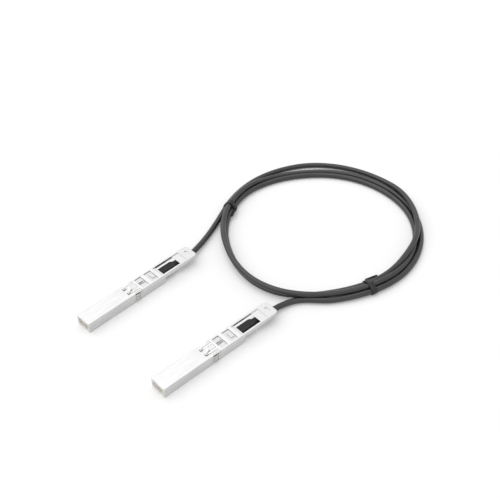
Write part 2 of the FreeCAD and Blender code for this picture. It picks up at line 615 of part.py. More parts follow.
def make_cable_boot(label):
    """Moulded strain relief: a captive flange, a flat grip, a taper and a grooved sleeve."""
    body = new_body(label)

    def rounded(name, width, height, corner, offset):
        sketch = new_sketch(body, label + name, "XZ_Plane", "-(" + offset + ")")
        side, up, cut = "(" + width + ") / 2", "(" + height + ") / 2", corner
        corners = [(1, 1, 0), (1, 1, 1), (-1, 1, 1), (-1, 1, 0),
                   (-1, -1, 0), (-1, -1, 1), (1, -1, 1), (1, -1, 0)]
        add_outline(sketch, [
            ("%d * (%s - %s * %s)" % (right, side, cut, "1" if flat else "0"),
             "$cable_height + %d * (%s - %s * %s)" % (top, up, cut, "0" if flat else "1"))
            for right, top, flat in corners])
        return sketch

    flange = rounded("_flange", "$boot_flange_width", "$boot_flange_height",
                     "$boot_round / 2", BAY_END)
    pad(body, flange, "$boot_flange_length")
    grip = rounded("_grip", "$boot_width", "$boot_height", "$boot_round", "$boot_grip_end")
    pad(body, grip, "$boot_grip_end - (" + BAY_END + ")")
    taper_start = rounded("_taper_start", "$boot_width", "$boot_height", "$boot_round",
                          "$boot_grip_end")
    taper_end = rounded("_taper_end", "$sleeve_width", "$sleeve_width * 0.95",
                        "$sleeve_width * 0.29", "$boot_taper_end")
    taper = body.newObject("PartDesign::AdditiveLoft", label + "_taper")
    taper.Profile = taper_start
    taper.Sections = [taper_end]
    taper.Ruled = True
    sleeve = new_sketch(body, label + "_sleeve", "XZ_Plane", "-$boot_end")
    add_circle(sleeve, "0", "$cable_height", "$sleeve_width / 2")
    pad(body, sleeve, "$boot_end - $boot_taper_end + 0.2")
    profile = new_sketch(body, label + "_groove", "XY_Plane", "$cable_height")
    low = "$boot_end - $groove_pitch * $groove_count"
    add_outline(profile, box_points("$sleeve_width / 2 - $groove_depth",
                                    "$sleeve_width / 2 + $cut_over", low,
                                    low + " + $groove_width"))
    groove = body.newObject("PartDesign::Groove", label + "_groove_cut")
    groove.Profile = profile
    groove.ReferenceAxis = (profile, ["V_Axis"])
    groove.Angle = 360
    repeat(body, label + "_grooves", [groove], "Y_Axis",
           "$groove_pitch * ($groove_count - 1)", "$groove_count")
    bore = new_sketch(body, label + "_bore", "XZ_Plane", "-$boot_end - $cut_over")
    add_circle(bore, "0", "$cable_height", "$cable_width / 2")
    pocket(body, bore, "$boot_end - (" + BAY_END + ") + $boot_flange_length + 2 * $cut_over",
           forwards=True)
    return body


def make_crimp_ferrule(label):
    body = new_body(label)
    ring = new_sketch(body, label + "_ring", "XZ_Plane", "-$stub_start - $ferrule_length")
    corner = "$ferrule_flats / 2 / cos(30)"
    add_outline(ring, [("%s * cos(%d)" % (corner, 60 * k),
                        "$cable_height + %s * sin(%d)" % (corner, 60 * k)) for k in range(6)])
    pad(body, ring, "$ferrule_length")
    bore = new_sketch(body, label + "_bore", "XZ_Plane",
                      "-$stub_start - $ferrule_length - $cut_over")
    add_circle(bore, "0", "$cable_height", "$cable_width / 2")
    pocket(body, bore, "$ferrule_length + 2 * $cut_over", forwards=True)
    return body


def make_screw(label, place):
    """Cheese-head screw with a crossed drive, driven up through the base into the cover."""
    body = new_body(label)
    head = new_sketch(body, label + "_head", "XY_Plane", "$head_inset")
    add_circle(head, "0", place, "$head_radius")
    pad(body, head, "$head_height")
    shank = new_sketch(body, label + "_shank", "XY_Plane", "$head_inset + $head_height / 2")
    add_circle(shank, "0", place, "$screw_radius")
    pad(body, shank, "$screw_top - $head_inset - $head_height / 2 - $screw_clearance")
    drive = new_sketch(body, label + "_drive", "XY_Plane", "$head_inset")
    wide, thin = "$drive_length / 2", "$drive_width / 2"
    corners = [(thin, thin), (wide, thin), (wide, "-" + thin), (thin, "-" + thin),
               (thin, "-" + wide), ("-" + thin, "-" + wide), ("-" + thin, "-" + thin),
               ("-" + wide, "-" + thin), ("-" + wide, thin), ("-" + thin, thin),
               ("-" + thin, wide), (thin, wide)]
    add_outline(drive, [(across, place + " + " + along) for across, along in corners])
    pocket(body, drive, "$drive_depth", forwards=True)
    return body


def make_cable_stub(label):
    """The end of the cable that the module holds, from the crimp to the boot's mouth."""
    stub = doc.addObject("Part::Cylinder", label)
    bind(stub, "Radius", "$cable_width / 2")
    bind(stub, "Height", "$boot_end - $stub_start")
    stub.Placement = Placement(Vector(0, size["stub_start"], size["cable_height"]),
                               Rotation(X_WAY, -90))
    return stub


def tube(route, radius):
    """A round tube along straight runs, with the largest arc that each corner has room for."""
    runs = [(b - a).Length for a, b in zip(route, route[1:])]
    edges, start, radii = [], route[0], []
    for k in range(1, len(route) - 1):
        back = (route[k - 1] - route[k]).normalize()
        ahead = (route[k + 1] - route[k]).normalize()
        turn = math.pi - back.getAngle(ahead)
        reach = 0.45 * min(runs[k - 1], runs[k])
        bend = reach / math.tan(turn / 2)
        enter, leave = route[k] + back * reach, route[k] + ahead * reach
        middle = (back + ahead).normalize()
        crown = route[k] + middle * (bend / math.cos(turn / 2) - bend)
        edges += [Part.LineSegment(start, enter).toShape(),
                  Part.Arc(enter, crown, leave).toShape()]
        start = leave
        radii.append(bend)
    edges.append(Part.LineSegment(start, route[-1]).toShape())
    path = Part.Wire(edges)
    ring = Part.Wire(Part.makeCircle(radius, route[0], route[1] - route[0]))
    solid = path.makePipeShell([ring], True, True)
    expected = math.pi * radius ** 2 * path.Length
    return solid, path.Length, radii, expected


def make_tube(label, route, radius):
    solid, length, radii, expected = tube(route, radius)
    print("%s: length %.1f, volume %.1f of %.1f, bend radii %s" % (
        label, length, solid.Volume, expected, ", ".join("%.0f" % r for r in radii)))
    feature = doc.addObject("Part::Feature", label)
    feature.Shape = solid
    return feature


def make_wire_pair(label, side):
    """One screened pair, from the block at the card to the cable's end."""
    far, close = side * size["pair_spread"], side * size["pair_close"]
    turn_end = size["stub_start"] - 1.0
    height = size["cable_height"]
    route = [Vector(far, size["anchor_end"], height), Vector(far, size["pair_turn"], height),
             Vector(close, turn_end, height), Vector(close, size["stub_start"], height)]
    return make_tube(label, route, size["pair_width"] / 2)


def coil_radius(angle, kind):
    """How far the coil's inner or outer edge lies from its middle, at an angle in degrees."""
    off_fan = math.radians(angle - size["coil_fan_angle"])
    fan, side = size["coil_%s_fan" % kind], size["coil_%s_side" % kind]
    shift = size["coil_%s_shift" % kind] * (1 if kind == "outer" else -1)
    plain = 1 / math.hypot(math.cos(off_fan) / fan, math.sin(off_fan) / side)
    return plain + shift * math.cos(off_fan)


def make_coil(label):
    """The wound cable's outer form: a ring, widest where its turns fan out."""
    solids = []
    for kind in ("outer", "inner"):
        fan, side = "coil_%s_fan" % kind, "coil_%s_side" % kind
        along_fan = size[fan] >= size[side]
        major, minor = (fan, side) if along_fan else (side, fan)
        shift = size["coil_%s_shift" % kind] * (1 if kind == "outer" else -1)
        fan_way = math.radians(size["coil_fan_angle"])
        middle = Vector(size["coil_x"] + shift * math.cos(fan_way),
                        size["coil_y"] + shift * math.sin(fan_way), size["coil_lift"])
        ellipse = doc.addObject("Part::Ellipse", label + "_" + kind)
        bind(ellipse, "MajorRadius", "$" + major)
        bind(ellipse, "MinorRadius", "$" + minor)
        turn = size["coil_fan_angle"] + (0 if along_fan else 90)
        ellipse.Placement = Placement(middle, Rotation(Z_WAY, turn))
        block = doc.addObject("Part::Extrusion", label + "_" + kind + "_block")
        block.Base = ellipse
        block.DirMode = "Custom"
        block.Dir = Z_WAY
        bind(block, "LengthFwd", "$coil_height")
        block.Solid = True
        solids.append(block)
    ring = doc.addObject("Part::Cut", label + "_ring")
    ring.Base, ring.Tool = solids
    doc.recompute()
    coil = doc.addObject("Part::Fillet", label)
    coil.Base = ring
    coil.Edges = [(k + 1, size["coil_round"], size["coil_round"])
                  for k, edge in enumerate(ring.Shape.Edges)
                  if edge.BoundBox.ZLength < 0.01]
    return coil


def make_tie(label, angle, tail_side):
    """A wire tie: a band folded round the coil and its twisted ends beside it."""
    inner, outer = coil_radius(angle, "inner"), coil_radius(angle, "outer")
    wall, lift = size["tie_thickness"], size["coil_lift"]
    boxes = []
    for name, grow in (("hole", 0.0), ("band", wall)):
        block = doc.addObject("Part::Box", label + "_" + name)
        width = size["tie_width"] + (2 if name == "hole" else 0)
        block.Length = outer - inner + 2 * grow
        block.Height = size["coil_height"] + 2 * grow
        block.Width = width
        block.Placement = Placement(Vector(inner - grow, -width / 2, lift - grow), Rotation())
        doc.recompute()
        rounded = doc.addObject("Part::Fillet", label + "_" + name + "_round")
        rounded.Base = block
        corner = size["coil_round"] + grow
        rounded.Edges = [(k + 1, corner, corner) for k, edge in enumerate(block.Shape.Edges)
                         if straight_along(edge, Y_WAY)]
        boxes.append(rounded)
    band = doc.addObject("Part::Cut", label + "_loop")
    band.Base, band.Tool = boxes[1], boxes[0]
    tail = doc.addObject("Part::Cylinder", label + "_tail")
    bind(tail, "Radius", "$tail_radius")
    bind(tail, "Height", "$tail_length")
    sideways = inner - wall if tail_side < 0 else outer + wall
    reach = size["tail_radius"] * 0.6
    tail.Placement = Placement(
        Vector(sideways + tail_side * reach, -size["tie_width"] / 2,
               lift + size["coil_height"] * 0.55), Rotation(X_WAY, -90))
    tie = doc.addObject("Part::Fuse", label)
    tie.Base, tie.Tool = band, tail
    middle = Vector(size["coil_x"], size["coil_y"], 0)
    tie.Placement = Placement(middle, Rotation(Z_WAY, angle))
    return tie


def placed(point):
    """Where a point of module B's own frame lies in the model."""
    return MODULE_PLACES["b"].multVec(Vector(*point))


MODULE_PLACES = {
    "a": Placement(),
    "b": Placement(Vector(size["module_b_x"], 0, 0), Rotation(Z_WAY, -size["module_b_turn"])),
}
RADIUS = size["cable_width"] / 2
EXIT = (0, size["boot_end"], size["cable_height"])
LEAD_START = (0, size["boot_end"] + size["lead_straight"], size["cable_height"])
LEAD_A = [Vector(*EXIT), Vector(*LEAD_START), Vector(-3.5, 115.5, 3.2),
          Vector(-8.4, 129.5, 2.5), Vector(-14.3, 144.2, 2.6), Vector(-20.0, 157.8, 3.6)]
LEAD_B = [placed(EXIT), placed(LEAD_START), Vector(87.3, 114.0, 3.1),
          Vector(90.0, 122.8, 2.6), Vector(95.6, 130.2, 2.6), Vector(102.6, 135.9, 2.9)]

parts = {}
for side, place in MODULE_PLACES.items():
    module = [
        make_base_shell("base_shell_" + side),
        make_cover_shell("cover_shell_" + side),
        make_release_frame("release_frame_" + side),
        make_return_spring("return_spring_" + side),
        make_contact_collar("contact_collar_" + side),
        make_paddle_card("paddle_card_" + side),
        make_card_contacts("card_contacts_" + side),
        make_memory_chip("memory_chip_" + side),
        make_wire_anchor("wire_anchor_" + side),
        make_wire_pair("transmit_pair_" + side, 1),
        make_wire_pair("receive_pair_" + side, -1),
        make_crimp_ferrule("crimp_ferrule_" + side),
        make_cable_boot("cable_boot_" + side),
        make_cable_stub("cable_stub_" + side),
        make_screw("front_screw_" + side, "$screw_front"),
        make_screw("rear_screw_" + side, "$screw_rear"),
    ]
    for piece in module:
        piece.Placement = place * piece.Placement
        parts[piece.Label] = piece
parts["cable_lead_a"] = make_tube("cable_lead_a", LEAD_A, RADIUS)
parts["cable_lead_b"] = make_tube("cable_lead_b", LEAD_B, RADIUS)
parts["cable_coil"] = make_coil("cable_coil")
parts["coil_tie_a"] = make_tie("coil_tie_a", 204.0, -1)
parts["coil_tie_b"] = make_tie("coil_tie_b", -19.0, -1)

doc.recompute()
for thing in doc.Objects:
    if "Invalid" in thing.State or "Error" in thing.State:
        raise ValueError("%s did not build: %s" % (thing.Label, thing.State))
for label, piece in parts.items():
    if piece.Shape.isNull() or not piece.Shape.isValid():
        raise ValueError(label + " has no sound shape")

os.makedirs("parts", exist_ok=True)
for label, piece in parts.items():
    piece.Shape.exportStep("parts/%s.step" % label)
    bounds = piece.Shape.BoundBox
    print("%-18s %d solids, %8.1f mm3, z %.2f to %.2f" % (
        label, len(piece.Shape.Solids), piece.Shape.Volume, bounds.ZMin, bounds.ZMax))
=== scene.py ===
import math

import bmesh
import bpy
from mathutils import Matrix, Vector


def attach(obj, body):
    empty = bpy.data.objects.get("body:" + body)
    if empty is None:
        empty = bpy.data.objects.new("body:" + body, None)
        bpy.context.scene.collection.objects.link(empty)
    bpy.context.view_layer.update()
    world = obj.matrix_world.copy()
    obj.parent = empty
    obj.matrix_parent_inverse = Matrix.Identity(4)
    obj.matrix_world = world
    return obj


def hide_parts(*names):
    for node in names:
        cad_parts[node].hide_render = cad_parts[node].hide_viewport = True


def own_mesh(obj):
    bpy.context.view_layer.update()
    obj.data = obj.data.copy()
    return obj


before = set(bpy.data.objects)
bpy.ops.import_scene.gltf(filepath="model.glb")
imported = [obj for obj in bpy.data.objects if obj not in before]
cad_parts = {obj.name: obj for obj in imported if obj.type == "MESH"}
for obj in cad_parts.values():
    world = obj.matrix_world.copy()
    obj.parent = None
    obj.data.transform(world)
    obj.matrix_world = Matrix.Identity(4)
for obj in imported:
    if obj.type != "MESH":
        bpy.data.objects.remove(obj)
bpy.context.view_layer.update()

scene = bpy.context.scene
MM = 0.001


def add_object(name, data):
    holder = bpy.data.objects.new(name, data)
    scene.collection.objects.link(holder)
    return holder


def add_mesh(name, shape):
    """The finished bmesh, in metres, as an object at the origin."""
    mesh = bpy.data.meshes.new(name)
    shape.to_mesh(mesh)
    shape.free()
    return add_object(name, mesh)


# ---------------------------------------------------------------- camera

VIEW_TARGET = Vector((26.1, 142.5, 0.0)) * MM
VIEW_AZIMUTH = math.radians(44.48)
VIEW_ELEVATION = math.radians(42.02)
VIEW_DISTANCE = 620.0 * MM
LENS = 56.3
FILM_WIDTH = 36.0


def aim(holder, towards):
    """Turn a camera or a light so that it looks back along the way that it lies in."""
    holder.rotation_euler = (-towards).to_track_quat("-Z", "Y").to_euler()


def make_camera():
    camera = bpy.data.cameras.new("camera")
    camera.lens = LENS
    camera.sensor_width = FILM_WIDTH
    holder = add_object("camera", camera)
    flat = math.cos(VIEW_ELEVATION)
    towards = Vector((flat * math.sin(VIEW_AZIMUTH), -flat * math.cos(VIEW_AZIMUTH),
                      math.sin(VIEW_ELEVATION)))
    holder.location = VIEW_TARGET + towards * VIEW_DISTANCE
    aim(holder, towards)
    scene.camera = holder


make_camera()


# ---------------------------------------------------------------- the two modules

MODULE_B_OFFSET = Vector((81.1, 0, 0))
MODULE_B_TURN = math.radians(-2.87)
MODULE_B = Matrix.Translation(MODULE_B_OFFSET * MM) @ Matrix.Rotation(MODULE_B_TURN, 4, "Z")
MODULES = {"a": Matrix.Identity(4), "b": MODULE_B}


def settle(shape, side):
    """Put a shape drawn in millimetres on module A in its place in metres on this side."""
    shape.transform(MODULES[side] @ Matrix.Scale(MM, 4))


# ---------------------------------------------------------------- the cable

CABLE = 4.5 * MM
COIL_MIDDLE = Vector((50.4, 197.9, 0.0)) * MM
TURN_STEP = 15.0
FIRST_TURN_POINT, LAST_TURN_POINT = 6.0, 966.0
TIE_ANGLES = {"a": 204.0, "b": -19.0}    # degrees round the coil's middle
OWN_SHARE = 0.75         # a control point's pull on the spline; the two beside it have the rest
ROUTE_STEPS, CABLE_ROUNDNESS = 10, 6

# Points of the cable's route in millimetres. The first two leave module A's boot straight.
EXIT = Vector((0, 94.5, 4.25))
LEAD_START = Vector((0, 103.5, 4.25))
LEAD_A = [(-3.5, 115.5, 3.2), (-8.4, 129.5, 2.5), (-14.3, 144.2, 2.6), (-20.0, 157.8, 3.6)]
LEAD_B = [(87.3, 114.0, 3.1), (90.0, 122.8, 2.6), (95.6, 130.2, 2.6), (102.6, 135.9, 2.9)]

# How the cable lies in the coil: degrees wound from the first tie, radius and height in
# millimetres. The first pass fans out at the far side and rides over the others on the right.
LIE = [
    (0, 80.4, 3.5), (14, 81.0, 2.7), (26, 83.0, 2.4), (34, 84.0, 2.25), (53, 86.3, 2.25),
    (68, 88.7, 2.25), (89, 89.0, 2.25), (108, 88.3, 2.3), (123, 86.4, 5.2), (131, 84.9, 6.3),
    (141, 82.6, 6.7), (150, 80.6, 6.3), (163, 79.4, 6.3), (170, 77.4, 6.8), (178, 75.2, 6.6),
    (188, 72.9, 5.6), (196, 72.0, 4.4), (204, 71.8, 3.2), (223, 71.0, 3.1), (237, 71.4, 3.1),
    (252, 73.4, 2.25), (264, 77.6, 2.25), (276, 80.9, 2.25), (290, 81.3, 2.25),
    (304, 79.3, 2.25), (320, 76.5, 2.25), (336, 75.9, 2.25), (348, 75.4, 3.1),
    (360, 74.8, 3.1), (374, 75.6, 3.1), (390, 75.0, 2.25), (404, 73.2, 2.25),
    (428, 73.2, 2.25), (449, 75.3, 2.25), (483, 77.5, 2.25), (508, 78.6, 2.25),
    (523, 77.3, 2.25), (538, 76.7, 2.3), (548, 76.5, 3.0), (556, 76.4, 4.0), (564, 76.2, 4.8),
    (583, 75.0, 5.1), (597, 75.4, 5.1), (612, 77.0, 5.2), (624, 80.6, 6.5), (636, 82.6, 6.6),
    (650, 83.0, 6.6), (664, 81.0, 6.6), (680, 78.3, 6.6), (696, 77.9, 6.7),
    (720, 77.5, 7.0), (734, 78.4, 6.7), (746, 79.0, 5.0), (754, 79.3, 3.2), (764, 78.0, 2.25),
    (788, 77.8, 2.25), (809, 80.8, 2.25), (843, 82.7, 2.25), (868, 83.0, 2.25),
    (883, 81.9, 2.25), (898, 81.1, 2.25), (924, 80.1, 2.4), (936, 79.6, 3.1),
    (955, 79.1, 3.1), (966, 80.3, 2.6)]


def lie_at(wound):
    """Radius and height of the cable in the coil, in millimetres, at degrees wound."""
    k = max(i for i in range(len(LIE) - 1) if LIE[i][0] <= wound)
    before, after = LIE[k], LIE[k + 1]
    share = (wound - before[0]) / (after[0] - before[0])
    return [before[i] + (after[i] - before[i]) * share for i in (1, 2)]


def coil_point(wound, radius, height):
    angle = math.radians(TIE_ANGLES["a"] - wound)
    return COIL_MIDDLE + Vector((radius * math.cos(angle), radius * math.sin(angle), height)) * MM


def coil_turns():
    """Control points of the wound part. The spline runs inside them, so they lie further out."""
    neighbours = (1 - OWN_SHARE) * math.cos(math.radians(TURN_STEP))
    count = round((LAST_TURN_POINT - FIRST_TURN_POINT) / TURN_STEP)
    points = []
    for k in range(count + 1):
        wound = FIRST_TURN_POINT + TURN_STEP * k
        radius, height = lie_at(wound)
        points.append(coil_point(wound, radius / (OWN_SHARE + neighbours), height))
    return points


def make_cable():
    route = [EXIT * MM, LEAD_START * MM]
    route += [Vector(point) * MM for point in LEAD_A]
    route += coil_turns()
    route += [Vector(point) * MM for point in reversed(LEAD_B)]
    route += [MODULE_B @ (LEAD_START * MM), MODULE_B @ (EXIT * MM)]
    curve = bpy.data.curves.new("cable", "CURVE")
    curve.dimensions = "3D"
    spline = curve.splines.new("NURBS")
    spline.points.add(len(route) - 1)
    for point, place in zip(spline.points, route):
        point.co = (*place, 1.0)
    spline.order_u = 3
    spline.use_endpoint_u = True
    spline.resolution_u = ROUTE_STEPS
    curve.bevel_depth = CABLE / 2
    curve.bevel_resolution = CABLE_ROUNDNESS
    curve.use_fill_caps = True
    return add_object("cable", curve)


cable = make_cable()


# ---------------------------------------------------------------- material tools

NOISE_RANGE = (0.3, 0.7)         # nearly all of a noise's values lie in here


class Value:
    """A number, colour or vector inside a material. Sums of values add the nodes they need."""

    def __init__(self, paint, socket):
        self.paint, self.socket = paint, socket

    def __add__(self, other):
        return self.paint.maths("ADD", self, other)

    def __sub__(self, other):
        return self.paint.maths("SUBTRACT", self, other)

    def __rsub__(self, other):
        return self.paint.maths("SUBTRACT", other, self)

    def __mul__(self, other):
        return self.paint.maths("MULTIPLY", self, other)

    def __truediv__(self, other):
        return self.paint.maths("DIVIDE", self, other)

    def __rtruediv__(self, other):
        return self.paint.maths("DIVIDE", other, self)

    def __abs__(self):
        return self.paint.maths("ABSOLUTE", self)

    __radd__, __rmul__ = __add__, __mul__


class Paint:
    """One procedural material. What is the same all over is set on the shader's own sockets."""

    def __init__(self, name, **uniform):
        self.material = bpy.data.materials.new(name)
        self.material.use_nodes = True
        self.tree = self.material.node_tree
        self.shader = self.tree.nodes["Principled BSDF"]
        self.set(**uniform)

    def set(self, **sockets):
        for name, value in sockets.items():
            self.plug(self.shader, name.replace("_", " ").title().replace("Ior", "IOR"), value)

    def plug(self, node, name, value):
        if isinstance(value, Value):
            self.tree.links.new(value.socket, node.inputs[name])
        else:
            node.inputs[name].default_value = value

    def node(self, kind, settings, inputs, output=0):
        """A node with its settings made first, then its sockets' values or links."""
        made = self.tree.nodes.new("ShaderNode" + kind)
        for name, value in settings.items():
            setattr(made, name, value)
        for name, value in inputs.items():
            self.plug(made, name, value)
        return Value(self, made.outputs[output])

    def maths(self, operation, first, second=0.0):
        return self.node("Math", {"operation": operation}, {0: first, 1: second})

    def place(self, matrix=Matrix.Identity(4)):
        """Coordinates in millimetres in the frame that the matrix places in the model."""
        spot, turn, _ = matrix.decompose()
        here = self.node("TexCoord", {}, {}, "Object")
        return self.node("Mapping", {"vector_type": "TEXTURE"}, {
            "Vector": here, "Location": spot, "Rotation": turn.to_euler(),
            "Scale": (MM, MM, MM)})

    def stretch(self, vector, scale):
        return self.node("Mapping", {"vector_type": "POINT"}, {"Vector": vector, "Scale": scale})

    def noise(self, vector, scale=1.0, detail=2.0):
        return self.node("TexNoise", {}, {"Vector": vector, "Scale": scale, "Detail": detail}, 0)

    def part(self, vector, axis):
        return self.node("SeparateXYZ", {}, {"Vector": vector}, axis)

    def spread(self, value, low, high, to_low=0.0, to_high=1.0):
        return self.node("MapRange", {"clamp": True}, {
            "Value": value, "From Min": low, "From Max": high,
            "To Min": to_low, "To Max": to_high})

    def vary(self, noise, low=0.0, high=1.0):
        """A number that goes from low to high over a noise's usual range."""
        return self.spread(noise, *NOISE_RANGE, low, high)

    def blend(self, share, first, second):
        return self.node("Mix", {"data_type": "RGBA"}, {0: share, 6: first, 7: second}, 2)

    def seen(self):
        """1 for what the camera sees, also in a gloss or through a clear piece, otherwise 0."""
        camera, gloss, clear = [self.node("LightPath", {}, {}, "Is %s Ray" % kind)
                                for kind in ("Camera", "Glossy", "Transmission")]
        return self.maths("MAXIMUM", self.maths("MAXIMUM", camera, gloss), clear)

    def bump(self, height, depth):
        """Relief, its depth in millimetres."""
        self.set(normal=self.node("Bump", {}, {"Height": height, "Distance": depth * MM}))


class Sky(Paint):
    """The world's own nodes, made with the same tools."""

    def __init__(self, name):
        self.world = bpy.data.worlds.new(name)
        self.world.use_nodes = True
        self.tree = self.world.node_tree
        self.shader = self.tree.nodes["Background"]


def grey(level, warm=0.0):
    return (level * (1 + warm), level, level * (1 - warm), 1.0)


# ---------------------------------------------------------------- finishes

# Places on a module in millimetres that a finish has to know.
SHELL_MIDDLE = 4.25              # height of the shell's and the cable's middle
PLATE_START = 49.2               # the release frame covers the shell from here on
PLATE_START_BLUR = 0.3
MOUTH_HALF_WIDTH, MOUTH_HALF_HEIGHT = 5.8, 3.4
SOFT_EDGE = 0.1
CARD_BARE_END = 5.2              # the card's mask begins here
TRACK_BEND = (12.0, 22.0)        # the tracks swing aside between these
TRACK_SWING, TRACK_HALF_PITCH = 0.8, 0.4
TRACK_EDGE = (0.17, 0.21)
CHIP_CASE_EDGE = (2.2, 2.25)     # the tinned legs begin outside it
CHIP_DIMPLE = (-1.6, 14.6)
CHIP_DIMPLE_EDGE = (0.07, 0.1)   # its radius squared
FOIL_LAP = 3.0
FERRULE_BITE = 0.35
SCREWS_MIDDLE, SCREWS_HALF_APART = 44.5, 9.5
SCREW_RING = 0.18


def cast_nickel(side):
    """Satin nickel over a die casting, duller under the frame, with painted light in the mouth.
    """
    paint = Paint("cast_nickel_" + side, metallic=1.0)
    here = paint.place(MODULES[side])
    flow = paint.noise(paint.stretch(here, (0.35, 0.06, 0.35)), detail=3.0)
    grain = paint.noise(here, scale=2.6, detail=3.0)
    under = paint.spread(paint.part(here, "Y"), PLATE_START - PLATE_START_BLUR,
                         PLATE_START + PLATE_START_BLUR)
    aside = abs(paint.part(here, "X"))
    above = abs(paint.part(here, "Z") - SHELL_MIDDLE)
    # painted light: inside the mouth the shell gets a pale near-white colour that stands in for
    # light where it lies in shade
    painted_mouth_light = (paint.spread(aside, MOUTH_HALF_WIDTH, MOUTH_HALF_WIDTH + SOFT_EDGE, 1.0, 0.0)
             * paint.spread(above, MOUTH_HALF_HEIGHT, MOUTH_HALF_HEIGHT + SOFT_EDGE, 1.0, 0.0))
    bright = paint.blend(paint.spread(flow, 0.35, 0.65), grey(0.58), grey(0.64, 0.004))
    outer = paint.blend(under, bright, grey(0.62))
    polish = paint.vary(flow * 0.6 + grain * 0.4, 0.3, 0.39)
    # the mouth's pale colour below is painted light, not the casting's own tone
    paint.set(base_color=paint.blend(painted_mouth_light, outer, grey(0.95)),
              roughness=polish + under * 0.22 + painted_mouth_light * 0.3)
    paint.bump(grain, depth=0.012)
    return paint.material


def rolled_steel(side):
    """Bright stainless sheet with the rolling lines along its length."""
    paint = Paint("rolled_steel_" + side, metallic=1.0)
    here = paint.place(MODULES[side])
    lines = paint.noise(paint.stretch(here, (9.0, 0.12, 9.0)), detail=3.0)
    smudge = paint.noise(here, scale=0.16)
    paint.set(base_color=paint.blend(paint.vary(lines), grey(0.6), grey(0.68)),
              roughness=paint.vary(lines * 0.6 + smudge * 0.4, 0.25, 0.36))
    paint.bump(lines, depth=0.006)
    return paint.material


def spring_strip(side):
    """Thin plated spring strip, smoother than the sheet, slightly warm."""
    paint = Paint("spring_strip_" + side, metallic=1.0)
    haze = paint.noise(paint.place(MODULES[side]), scale=0.9, detail=3.0)
    paint.set(base_color=paint.blend(paint.vary(haze), grey(0.55, 0.01), grey(0.68, 0.01)),
              roughness=paint.vary(haze, 0.18, 0.3))
    paint.bump(haze, depth=0.004)
    return paint.material


def drawn_wire(side):
    """Hard wire with fine streaks along the module."""
    paint = Paint("drawn_wire_" + side, metallic=1.0)
    streaks = paint.noise(paint.stretch(paint.place(MODULES[side]), (6.0, 1.0, 6.0)))
    paint.set(base_color=paint.blend(streaks, grey(0.52), grey(0.66)),
              roughness=paint.vary(streaks, 0.25, 0.4))
    return paint.material


def card_mask(side):
    """Green solder mask over copper tracks that run along the card. Its front end is bare."""
    paint = Paint("card_mask_" + side, coat_weight=0.4, coat_roughness=0.15)
    here = paint.place(MODULES[side])
    across, along = paint.part(here, "X"), paint.part(here, "Y")
    swing = paint.spread(along, *TRACK_BEND, 0.0, TRACK_SWING)
    stripe = paint.maths("PINGPONG", across + swing, TRACK_HALF_PITCH)
    track = paint.spread(stripe, *TRACK_EDGE)
    weave = paint.noise(here, scale=3.0)
    mask = paint.blend(track * 0.8 + weave * 0.2, (0.012, 0.11, 0.045, 1), (0.03, 0.22, 0.09, 1))
    laminate = paint.blend(weave, (0.62, 0.58, 0.4, 1), (0.74, 0.7, 0.52, 1))
    masked = paint.spread(along, CARD_BARE_END, CARD_BARE_END + SOFT_EDGE)
    paint.set(base_color=paint.blend(masked, laminate, mask),
              roughness=paint.vary(weave, 0.32, 0.45))
    paint.bump(track, depth=0.03)
    return paint.material


def gold_plate(side):
    """Hard gold with wipe marks along the way in."""
    paint = Paint("gold_plate_" + side, metallic=1.0)
    wipe = paint.noise(paint.stretch(paint.place(MODULES[side]), (6.0, 0.4, 6.0)))
    paint.set(base_color=paint.blend(wipe, (0.86, 0.6, 0.22, 1), (0.98, 0.74, 0.34, 1)),
              roughness=paint.vary(wipe, 0.16, 0.3))
    return paint.material


def chip_case(side):
    """Matt moulded case with a dimple at its first leg; its legs are tinned."""
    paint = Paint("chip_case_" + side)
    here = paint.place(MODULES[side])
    across, along = paint.part(here, "X"), paint.part(here, "Y")
    leg = paint.spread(abs(across), *CHIP_CASE_EDGE)
    off_x, off_y = across - CHIP_DIMPLE[0], along - CHIP_DIMPLE[1]
    dimple = paint.spread(off_x * off_x + off_y * off_y, *CHIP_DIMPLE_EDGE)
    grain = paint.noise(here, scale=9.0)
    case = paint.blend(grain, grey(0.018), grey(0.035))
    paint.set(base_color=paint.blend(leg, case, grey(0.8)), metallic=leg,
              roughness=paint.spread(leg + grain * 0.2, 0.0, 1.2, 0.62, 0.3))
    paint.bump(dimple + grain * 0.1, depth=0.08)
    return paint.material


def melt_resin(side):
    """Cloudy resin moulded over the soldered wires."""
    paint = Paint("melt_resin_" + side, ior=1.48)
    cloud = paint.noise(paint.place(MODULES[side]), scale=0.7, detail=4.0)
    paint.set(base_color=paint.blend(paint.vary(cloud), (0.58, 0.53, 0.4, 1),
                                     (0.74, 0.7, 0.58, 1)),
              roughness=paint.vary(cloud, 0.42, 0.6))
    paint.bump(cloud, depth=0.08)
    return paint.material


def wrapped_foil(side):
    """Foil tape wound round a wire pair in slanting laps."""
    paint = Paint("wrapped_foil_" + side, metallic=1.0)
    here = paint.place(MODULES[side])
    slant = paint.part(here, "Y") + paint.part(here, "X") * 0.7 + paint.part(here, "Z") * 0.5
    lap = paint.maths("FRACT", slant / FOIL_LAP)
    crease = paint.noise(here, scale=1.8, detail=4.0)
    paint.set(base_color=paint.blend(lap, grey(0.62), grey(0.84)),
              roughness=paint.vary(crease, 0.24, 0.42))
    paint.bump(lap * 0.6 + crease * 0.4, depth=0.08)
    return paint.material


def crimped_brass(side):
    """Tarnished brass with the crimping tool's bites round it."""
    paint = Paint("crimped_brass_" + side, metallic=1.0)
    here = paint.place(MODULES[side])
    bites = paint.maths("PINGPONG", paint.part(here, "Y"), FERRULE_BITE)
    tarnish = paint.noise(here, scale=1.1, detail=3.0)
    paint.set(base_color=paint.blend(tarnish, (0.62, 0.57, 0.46, 1), (0.8, 0.77, 0.68, 1)),
              roughness=paint.vary(tarnish, 0.28, 0.44))
    paint.bump(bites, depth=0.05)
    return paint.material


